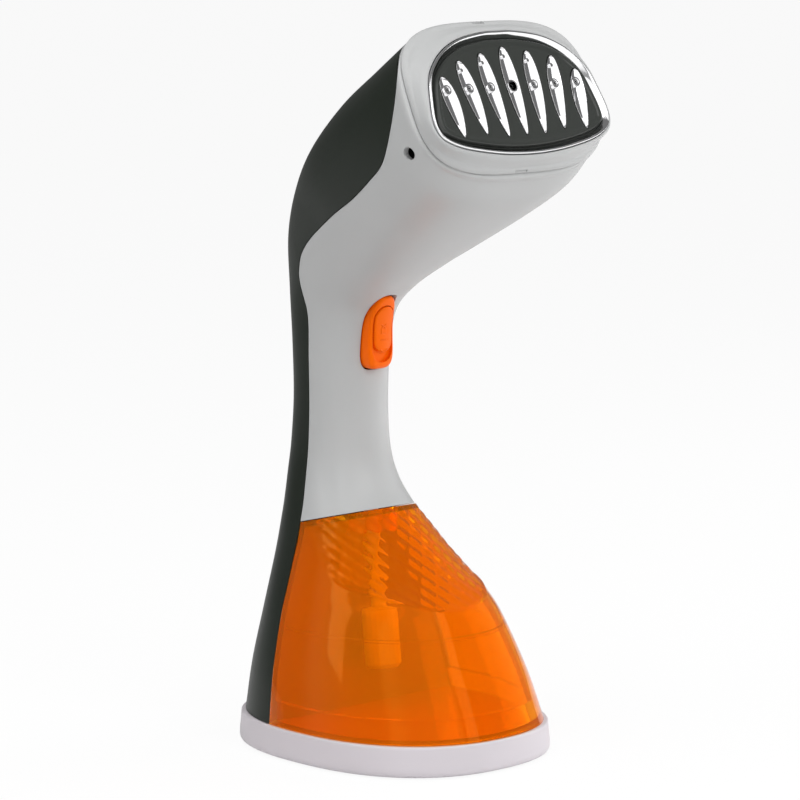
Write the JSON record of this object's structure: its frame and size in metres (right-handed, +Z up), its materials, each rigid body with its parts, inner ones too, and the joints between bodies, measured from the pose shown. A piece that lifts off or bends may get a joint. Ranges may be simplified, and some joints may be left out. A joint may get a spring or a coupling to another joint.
{
  "type": "handheld garment steamer",
  "caption": "Upright handheld garment steamer: waisted grip with a trigger, forward-tilted steam head with chrome steam channels, lift-off clear orange water tank on an oval base.",
  "frame": {"origin": "middle of the bounding box, on the floor under the rubber feet", "axes": "+Z up, the steam panel faces -Y (forward), +X to the object's left as seen from behind"},
  "size_m": [0.1018, 0.1352, 0.2763],
  "materials": {
    "shell_grey": "satin",
    "shell_charcoal": "satin",
    "base_pale_grey": "satin",
    "trigger_orange": "satin",
    "tank_clear_orange": "clear tinted plastic",
    "chrome": "polished",
    "panel_dark_gloss": "gloss",
    "cast_aluminium": "as cast",
    "steel": "bright",
    "silicone_translucent": "soft matte",
    "silicone_red": "soft matte",
    "black_plastic": "satin",
    "white_plastic": "satin",
    "rubber_black": "matte",
    "circuit_board": "lacquered",
    "wire_red": "satin",
    "wire_blue": "satin"
  },
  "bodies": {
    "stand": {"base_shell": "base_pale_grey", "base_plate": "black_plastic", "foot_front_left": "rubber_black", "foot_front_right": "rubber_black", "foot_rear_left": "rubber_black", "foot_rear_right": "rubber_black", "water_tank": "tank_clear_orange"},
    "release_button": {"release_button": "trigger_orange"},
    "trigger": {"trigger": "trigger_orange"},
    "lock_slider": {"trigger_lock_slider": "trigger_orange"},
    "switch_plunger": {"switch_plunger": "white_plastic"},
    "handle": {"front_housing": "shell_grey", "rear_cover": "shell_charcoal", "spine_wall": "shell_charcoal", "dock_floor": "shell_charcoal", "dock_seal": "silicone_red", "pickup_tube": "silicone_translucent", "pickup_filter": "black_plastic", "pump_body": "white_plastic", "pump_cradle": "black_plastic", "pump_inlet_hose": "silicone_translucent", "pump_outlet_hose": "silicone_translucent", "head_bezel": "shell_grey", "chrome_trim_ring": "chrome", "steam_panel": "panel_dark_gloss", "steam_plate": "cast_aluminium", "chamber_gasket": "silicone_red", "steam_chamber": "cast_aluminium", "chamber_bracket": "black_plastic", "heating_element": "steel", "thermostat": "steel", "thermal_fuse": "white_plastic", "control_board": "circuit_board", "board_relay": "black_plastic", "terminal_block": "white_plastic", "cord_gland": "rubber_black", "cable_clamp": "black_plastic", "heater_wire_live": "wire_red", "heater_wire_neutral": "wire_blue", "release_spring": "steel", "trigger_pin": "steel", "trigger_chassis": "black_plastic", "trigger_spring": "steel", "microswitch": "black_plastic", "screw_upper_left": "steel", "screw_upper_right": "steel", "screw_grip": "steel", "screw_spine": "steel", "steam_channel_1": "chrome", "steam_channel_2": "chrome", "steam_channel_3": "chrome", "steam_channel_4": "chrome", "steam_channel_5": "chrome", "steam_channel_6": "chrome", "steam_channel_7": "chrome"}
  },
  "joints": [
    {"name": "handle_lift", "type": "slide", "parent": "stand", "child": "handle", "axis": [0, 0.1172, 0.9931], "range_m": [0, 0.085]},
    {"name": "trigger_press", "type": "hinge", "parent": "handle", "child": "trigger", "pos_m": [0, 0.01969, 0.1677], "axis": [1, 0, 0], "range_deg": [0, 7], "stiffness_Nm_per_rad": 0.5, "springref_deg": -11.46, "deforming": ["trigger_spring"]},
    {"name": "lock_slide", "type": "slide", "parent": "trigger", "child": "lock_slider", "axis": [0, 0, -1], "range_m": [0, 0.0036]},
    {"name": "plunger_press", "type": "slide", "parent": "handle", "child": "switch_plunger", "axis": [0, 1, 0], "range_m": [0, 0.0015]},
    {"name": "release_press", "type": "slide", "parent": "handle", "child": "release_button", "axis": [0, -1, 0], "range_m": [0, 0.0024], "stiffness_N_per_m": 400, "springref_m": -0.003, "deforming": ["release_spring"]}
  ],
  "couplings": [
    {"joint": "plunger_press", "follows": "trigger_press", "m_per_rad": 0.012268}
  ]
}
